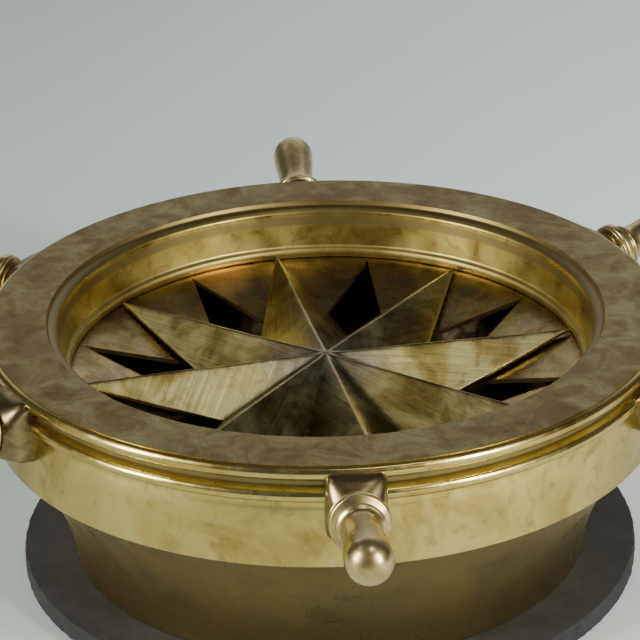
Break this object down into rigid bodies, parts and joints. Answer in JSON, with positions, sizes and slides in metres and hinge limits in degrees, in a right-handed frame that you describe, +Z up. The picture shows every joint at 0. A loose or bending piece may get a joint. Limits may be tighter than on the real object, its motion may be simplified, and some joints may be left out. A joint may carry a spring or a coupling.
{
  "type": "cowl vent",
  "caption": "Round brass deck ventilator: a ship's-wheel ring with turned handles carries a folded star shutter over a star-cut dish on a flared body.",
  "frame": {"origin": "on the wheel's axis, at the underside of the rubber gasket", "axes": "+Z up along the wheel's axis, away from the deck; the first handle points 4.1 degrees to the -X side of +Y"},
  "size_m": [0.2667, 0.2902, 0.08],
  "materials": {
    "wheel_brass": "aged polish: mottled satin flat top, glossy golden mouldings and bore",
    "star_brass": "brushed sheet with straight scratches, darker near the folds and the centre",
    "dish_brass": "tarnished brown satin with reddish patches",
    "body_brass": "aged polish outside, dark and dull inside",
    "boss_bronze": "dark bronze, satin, pinkish highlights",
    "handle_brass": "satin olive brown, turned",
    "stud_brass": "flush filed end, satin",
    "inner_bronze": "dark, dull cast bronze",
    "screw_brass": "turned, satin",
    "friction_leather": "pressed, dry",
    "gasket_rubber": "matte, slightly rough cut edge"
  },
  "bodies": {
    "base": {"deck_gasket": "gasket_rubber", "body_shell": "body_brass", "shutter_dish": "dish_brass", "dish_screw_1": "screw_brass", "dish_screw_2": "screw_brass", "dish_screw_3": "screw_brass", "dish_screw_4": "screw_brass", "friction_ring": "friction_leather", "stop_pin": "screw_brass", "spider": "inner_bronze", "spider_screw_1": "screw_brass", "spider_screw_2": "screw_brass", "spider_screw_3": "screw_brass"},
    "wheel": {"wheel_ring": "wheel_brass", "star_shutter": "star_brass", "pivot_post": "inner_bronze", "thrust_washer": "screw_brass", "pivot_nut": "screw_brass", "boss_1": "boss_bronze", "boss_2": "boss_bronze", "boss_3": "boss_bronze", "boss_4": "boss_bronze", "boss_5": "boss_bronze", "boss_6": "boss_bronze", "handle_1": "handle_brass", "handle_2": "handle_brass", "handle_3": "handle_brass", "handle_4": "handle_brass", "handle_5": "handle_brass", "handle_6": "handle_brass", "stud_1": "stud_brass", "stud_2": "stud_brass", "stud_3": "stud_brass", "stud_4": "stud_brass", "stud_5": "stud_brass", "stud_6": "stud_brass"}
  },
  "joints": [
    {"name": "wheel_turn", "type": "hinge", "parent": "base", "child": "wheel", "pos_m": [0, 0, 0.0633], "axis": [0, 0, 1], "range_deg": [-22.5, 0]}
  ]
}
